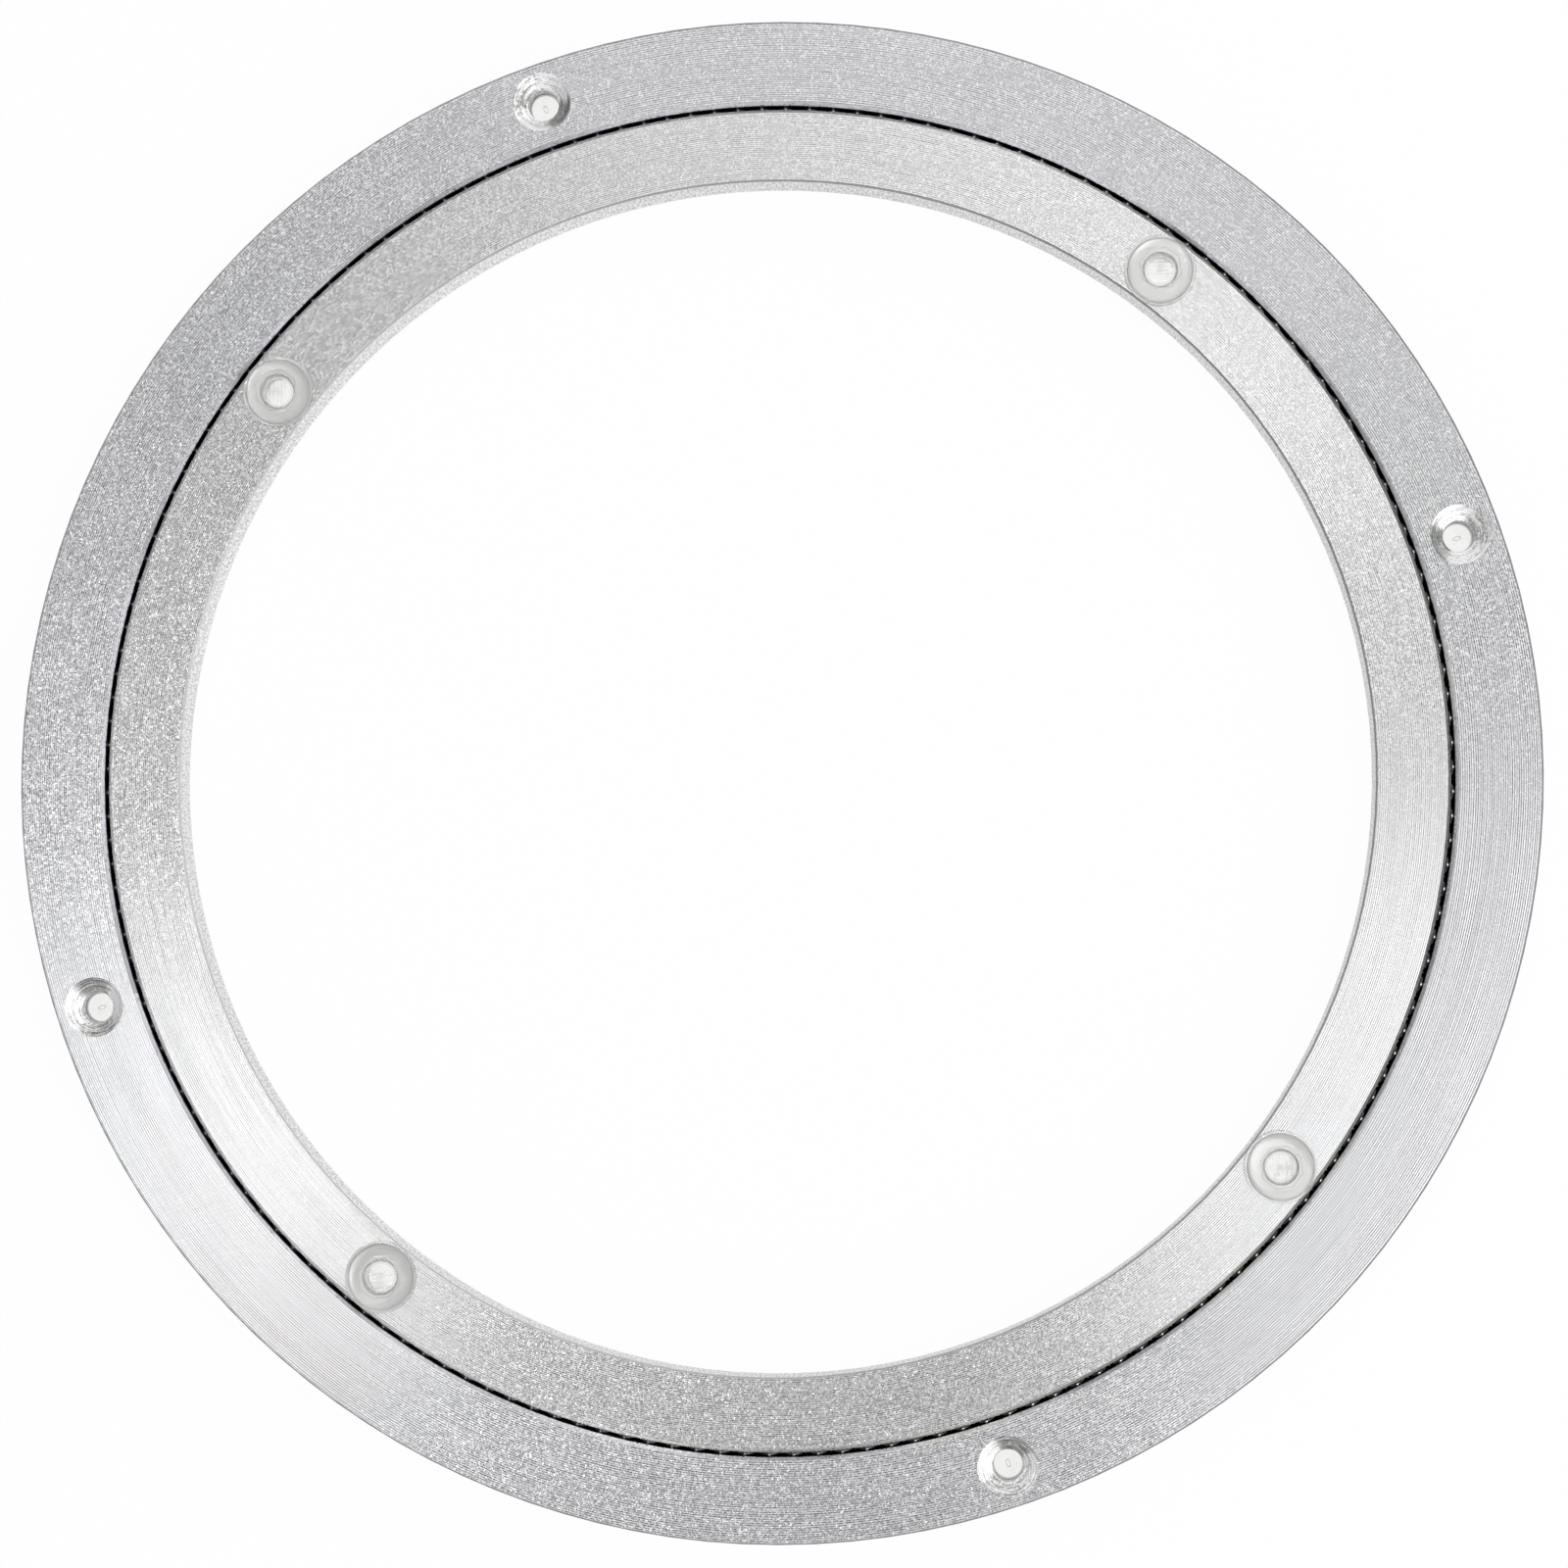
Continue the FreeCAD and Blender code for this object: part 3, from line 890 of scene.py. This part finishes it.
def bumperMesh(name, markDepth):
    look = bumper
    count = look["turnSegments"]
    turns = [2 * math.pi * number / count for number in range(count)]
    markLength, markWidth = look["gateMark"]
    stemEnd = -look["stemHeight"]
    crownFoot = look["height"] - look["crownHeight"]
    loops = []

    def oval(angle, share):
        # A point of the gate mark's outline, shrunk to a share of its size
        return Vector((math.cos(angle) * markLength * share, math.sin(angle) * markWidth * share))

    def circle(radius, height):
        return [(radius * math.cos(angle), radius * math.sin(angle), height) for angle in turns]

    for share in look["markRings"]:
        loops.append([(*oval(angle, share), stemEnd + markDepth) for angle in turns])
    loops.append([(*oval(angle, 1.0), stemEnd) for angle in turns])
    halfWay = []
    for angle in turns:
        spot = oval(angle, 1.0).lerp(Vector((math.cos(angle), math.sin(angle))) * look["stemCircle"], 0.5)
        halfWay.append((*spot, stemEnd))
    loops.append(halfWay)
    for radius, height in bumperOutline():
        loops.append(circle(radius, height))
    draft = look["crownHeight"] / 2
    inset, rise = look["crownTurn"]
    crownRings = (
        (look["crownFlats"], crownFoot),
        (look["crownFlats"] - draft * inset, crownFoot + look["crownHeight"] * rise),
        (look["crownFlats"] - draft, look["height"]),
        (look["crownFlats"] * look["crownTop"], look["height"]),
    )
    for flats, height in crownRings:
        loop = []
        for angle in turns:
            radius = crownRadius(angle, flats, look["crownSides"])
            loop.append((radius * math.cos(angle), radius * math.sin(angle), height))
        loops.append(loop)
    for radius in look["crownCircles"]:
        loops.append(circle(radius, look["height"]))

    vertices = [Vector(spot) * mm for loop in loops for spot in loop]
    faces = []
    for number in range(len(loops) - 1):
        here, there = number * count, (number + 1) * count
        for step in range(count):
            following = (step + 1) % count
            faces.append((here + step, here + following, there + following, there + step))
    bottom = len(vertices)
    vertices.append(Vector((0, 0, stemEnd + markDepth)) * mm)
    top = len(vertices)
    vertices.append(Vector((0, 0, look["height"])) * mm)
    last = (len(loops) - 1) * count
    for step in range(count):
        following = (step + 1) % count
        faces.append((bottom, following, step))
        faces.append((top, last + step, last + following))
    mesh = bpy.data.meshes.new(name)
    mesh.from_pydata([tuple(vertex) for vertex in vertices], [], faces)
    mesh.validate()
    mesh.shade_smooth()
    mesh.set_sharp_from_angle(angle=math.radians(look["sharpAngle"]))
    return mesh


clearRubber = {
    "colour": (0.97, 0.97, 0.96),
    "roughness": 0.1,
    "refraction": 1.46,
    "grainDepth": 0.004,       # mm
    "scratchDepth": 0.01,
    "scratchReach": 2.6,       # mm from the middle
    "clearRadius": 3.0,        # mm, of the stem's polished end
    "undersideRoughness": 0.5,
    "crownLine": 0.7,          # tone of the crown's edge
    "rimRadius": 6.9,          # mm, outside it the flange's rim is frosted
    "rimRoughness": 0.45,
    "clearness": 0.95,         # the rest is a milky haze in the rubber
    "seatHeights": (0.1, 0.05),     # mm above the ring's face, where the frosted underside starts
    "stemEndHeights": (-2.0, -2.2),
    "markLine": (0.92, 0.25, 0.1),  # shares of the gate mark's outline: middle, reach and core
    "crownEdge": (0.16, 0.06),      # mm
    "crownHeights": (1.9, 2.1),
    "domeStart": (2.9, 3.2),        # mm from the middle
    "domeEnd": (6.3, 4.4),
    "softness": 0.02,               # mm, of the borders between clear and frosted
    "cloudSpread": 0.08,            # roughness
    "scratchRough": 0.2,
}

# The ring of painted shade round the stem's end is given by its radius, its reach and its core, in millimetres;
# the dome's tone is a painted shade on the dome
padLook = {
    "gateDepth": 0.0, "markTone": 1.0, "rimLine": (3.0, 0.6, 0.5), "rimTone": 0.78,
    "scratchTurn": -0.66, "scratchTone": 0.5, "domeTone": 0.93,
}
footLook = {
    "gateDepth": 0.15, "markTone": 0.45, "rimLine": (2.97, 0.24, 0.18), "rimTone": 0.3,
    "scratchTurn": 0.3, "scratchTone": 0.08, "domeTone": 1.0,
}


def clearRubberMaterial(name, own):
    look = clearRubber
    material, tree, shader = newMaterial(name)
    grain = useGroup(tree, blastedGrain, {"Grain Size": 0.5, "Seed": 20.0})
    scratches = useGroup(tree, hairScratches, {
        "Turn": own["scratchTurn"], "Spacing": 0.35, "Amount": 0.7, "Seed": 2.0,
    })["Scratch"]
    place = useGroup(tree, ringPlace)
    radius, height, angle = place["Radius"], place["Height"], place["Angle"]
    reach = look["scratchReach"]
    scratches = product(tree, scratches, ramp(tree, radius, reach + 0.3, reach))

    # The moulded underside is frosted, but for the stem's polished end with its gate mark
    soft = look["softness"]
    past = ramp(tree, radius, look["clearRadius"] - soft, look["clearRadius"] + soft)
    frosted = product(tree, ramp(tree, height, *look["seatHeights"]), past)
    atEnd = ramp(tree, height, *look["stemEndHeights"])
    # Painted shade: a dark ring round the stem's end, where it meets the hole's wall
    lineRadius, lineReach, lineCore = own["rimLine"]
    fromLine = calc(tree, "ABSOLUTE", calc(tree, "SUBTRACT", radius, lineRadius))
    rim = product(tree, ramp(tree, fromLine, lineReach, lineCore), atEnd)
    markLength, markWidth = bumper["gateMark"]
    alongMark = product(tree, radius, calc(tree, "DIVIDE", calc(tree, "COSINE", angle), markLength))
    acrossMark = product(tree, radius, calc(tree, "DIVIDE", calc(tree, "SINE", angle), markWidth))
    markMiddle, markReach, markCore = look["markLine"]
    fromMark = calc(tree, "SUBTRACT", length(tree, alongMark, acrossMark), markMiddle)
    mark = product(tree, ramp(tree, calc(tree, "ABSOLUTE", fromMark), markReach, markCore), atEnd)

    # The crown's edge: distance from the nearest side of its polygon
    side = 2 * math.pi / bumper["crownSides"]
    offSide = calc(tree, "FLOORED_MODULO", calc(tree, "ADD", angle, side / 2), side)
    offSide = calc(tree, "SUBTRACT", offSide, side / 2)
    toSide = product(tree, radius, calc(tree, "COSINE", offSide))
    toSide = calc(tree, "ABSOLUTE", calc(tree, "SUBTRACT", toSide, bumper["crownFlats"] / 2))
    crown = product(tree, ramp(tree, toSide, *look["crownEdge"]), ramp(tree, height, *look["crownHeights"]))
    # Painted shade on the dome, between the stem's end and the flange
    dome = product(tree, ramp(tree, radius, *look["domeStart"]), ramp(tree, radius, *look["domeEnd"]))

    tone = calc(tree, "MULTIPLY_ADD", scratches, -own["scratchTone"], 1.0)
    tone = product(tree, tone, mixed(tree, crown, 1.0, look["crownLine"]), mixed(tree, rim, 1.0, own["rimTone"]),
                   mixed(tree, mark, 1.0, own["markTone"]), mixed(tree, dome, 1.0, own["domeTone"]))
    wire(tree, scaled(tree, look["colour"], tone), shader.inputs["Base Color"])
    spread = look["cloudSpread"]
    cloudy = calc(tree, "MULTIPLY_ADD", grain["Cloud"], spread, look["roughness"] - spread / 2)
    rough = calc(tree, "MULTIPLY_ADD", scratches, look["scratchRough"], cloudy)
    rough = mixed(tree, frosted, rough, look["undersideRoughness"])
    outermost = ramp(tree, radius, look["rimRadius"] - soft, look["rimRadius"] + soft)
    wire(tree, mixed(tree, outermost, rough, look["rimRoughness"]), shader.inputs["Roughness"])
    relief = product(tree, grain["Crumple"], look["grainDepth"])
    addRelief(tree, shader, calc(tree, "SUBTRACT", relief, product(tree, scratches, look["scratchDepth"])))
    shader.inputs["IOR"].default_value = look["refraction"]
    shader.inputs["Transmission Weight"].default_value = look["clearness"]
    return material


def setBumpers(family, body, centre, upwards, mesh):
    # Four bumpers, each on its own hole: family is pad or foot
    first = math.atan2(centre.y, centre.x)
    circle = math.hypot(centre.x, centre.y)
    holes = 4
    for number in range(holes):
        angle = first + 2 * math.pi * number / holes
        name = "%s_%d" % (family, number + 1)
        piece = addObject("clear_" + name, mesh)
        face = ringTop if upwards else ringBottom
        piece.location = (circle * math.cos(angle), circle * math.sin(angle), face * mm)
        piece.rotation_euler = (0 if upwards else math.pi, 0, angle)
        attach(piece, body)
        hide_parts(name)


padShape = bumperMesh("pad", padLook["gateDepth"])
footShape = bumperMesh("foot", footLook["gateDepth"])
padShape.materials.append(clearRubberMaterial("clear rubber, pads", padLook))
footShape.materials.append(clearRubberMaterial("clear rubber, feet", footLook))
setBumpers("pad", "inner", padCentre, True, padShape)
setBumpers("foot", "outer", footCentre, False, footShape)
print("pads and feet made,", len(padShape.polygons), "faces each")


# Studio: white floor, pale surroundings and soft lamps

studio = {
    "floorRadius": 3.0,         # m
    "floorSides": 96,
    "floorDrop": 0.05,          # mm under the feet
    "floorColour": (0.9, 0.9, 0.9, 1),
    "floorRoughness": 0.9,
    "floorGloss": 0.1,
    "floorGlow": 0.96,          # share of the floor's look that is plain white
    "skyHigh": 0.49,            # brightness straight above
    "skyLow": 1.05,             # brightness towards the horizon
    "skySide": 0.55,            # how much brighter the horizon is on the window's side
    "sideAzimuth": 311.5,       # degrees
    "skyStart": 0.45,           # height on the unit sphere where the sky starts to darken
    "skyEnd": 0.8,
    "haze": (0.05, 0.45, 0.6),  # heights between which the sky dims towards the floor, and how far
}

lamps = {
    "high lamp": {"azimuth": 170.9, "rise": 76.7, "distance": 0.9, "size": (0.12, 0.12), "power": 0.37},
    "near window": {"azimuth": 311.5, "rise": 56.8, "distance": 0.9, "size": (0.51, 0.51), "power": 1.68},
    "far window": {"azimuth": 54.1, "rise": 52.2, "distance": 0.9, "size": (0.9, 0.9), "power": 1.42},
}


def makeFloor():
    look = studio
    count = look["floorSides"]
    low = cadBox[0].z - look["floorDrop"] * mm
    rim = []
    for number in range(count):
        angle = 2 * math.pi * number / count
        rim.append((look["floorRadius"] * math.cos(angle), look["floorRadius"] * math.sin(angle), low))
    mesh = bpy.data.meshes.new("floor")
    mesh.from_pydata(rim, [], [tuple(range(count))])
    floor = addObject("floor", mesh)
    material, tree, shader = newMaterial("white floor")
    shader.inputs["Base Color"].default_value = look["floorColour"]
    shader.inputs["Roughness"].default_value = look["floorRoughness"]
    shader.inputs["Specular IOR Level"].default_value = look["floorGloss"]
    glow = tree.nodes.new("ShaderNodeEmission")
    rays = tree.nodes.new("ShaderNodeLightPath").outputs
    seen = calc(tree, "MAXIMUM", rays["Is Camera Ray"],
                calc(tree, "MAXIMUM", rays["Is Glossy Ray"], rays["Is Transmission Ray"]))
    blend = tree.nodes.new("ShaderNodeMixShader")
    wire(tree, product(tree, seen, look["floorGlow"]), blend.inputs[0])
    tree.links.new(shader.outputs["BSDF"], blend.inputs[1])
    tree.links.new(glow.outputs["Emission"], blend.inputs[2])
    tree.links.new(blend.outputs["Shader"], tree.nodes["Material Output"].inputs["Surface"])
    mesh.materials.append(material)


def makeWorld():
    look = studio
    world = bpy.data.worlds.new("pale studio")
    world.use_nodes = True
    bpy.context.scene.world = world
    tree = world.node_tree
    x, y, z = split(tree, tree.nodes.new("ShaderNodeTexCoord").outputs["Generated"])
    towards = math.radians(look["sideAzimuth"])
    side = calc(tree, "MULTIPLY_ADD", x, math.cos(towards), product(tree, y, math.sin(towards)))
    horizon = calc(tree, "MULTIPLY_ADD", side, look["skySide"], look["skyLow"])
    sky = ramp(tree, z, look["skyStart"], look["skyEnd"], horizon, look["skyHigh"])
    hazeLow, hazeHigh, dimmed = look["haze"]
    sky = product(tree, sky, ramp(tree, z, hazeLow, hazeHigh, dimmed, 1.0))
    around = tree.nodes["Background"]
    wire(tree, sky, around.inputs["Color"])
    white = tree.nodes.new("ShaderNodeBackground")
    white.inputs["Color"].default_value = (1, 1, 1, 1)
    rays = tree.nodes.new("ShaderNodeLightPath").outputs
    blend = tree.nodes.new("ShaderNodeMixShader")
    wire(tree, calc(tree, "MAXIMUM", rays["Is Camera Ray"], rays["Is Transmission Ray"]), blend.inputs[0])
    tree.links.new(around.outputs["Background"], blend.inputs[1])
    tree.links.new(white.outputs["Background"], blend.inputs[2])
    tree.links.new(blend.outputs["Shader"], tree.nodes["World Output"].inputs["Surface"])


def hangLamps():
    target = Vector((0, 0, ringTop * mm))
    for name, look in lamps.items():
        azimuth, rise = math.radians(look["azimuth"]), math.radians(look["rise"])
        flat = math.cos(rise)
        towards = Vector((flat * math.cos(azimuth), flat * math.sin(azimuth), math.sin(rise)))
        data = bpy.data.lights.new(name, "AREA")
        data.shape = "RECTANGLE"
        data.size, data.size_y = look["size"]
        data.energy = look["power"]
        lamp = addObject(name, data)
        lamp.location = target + towards * look["distance"]
        lamp.rotation_mode = "QUATERNION"
        lamp.rotation_quaternion = towards.to_track_quat("Z", "Y")
        lamp.visible_camera = False


makeFloor()
makeWorld()
hangLamps()
print("studio lit")
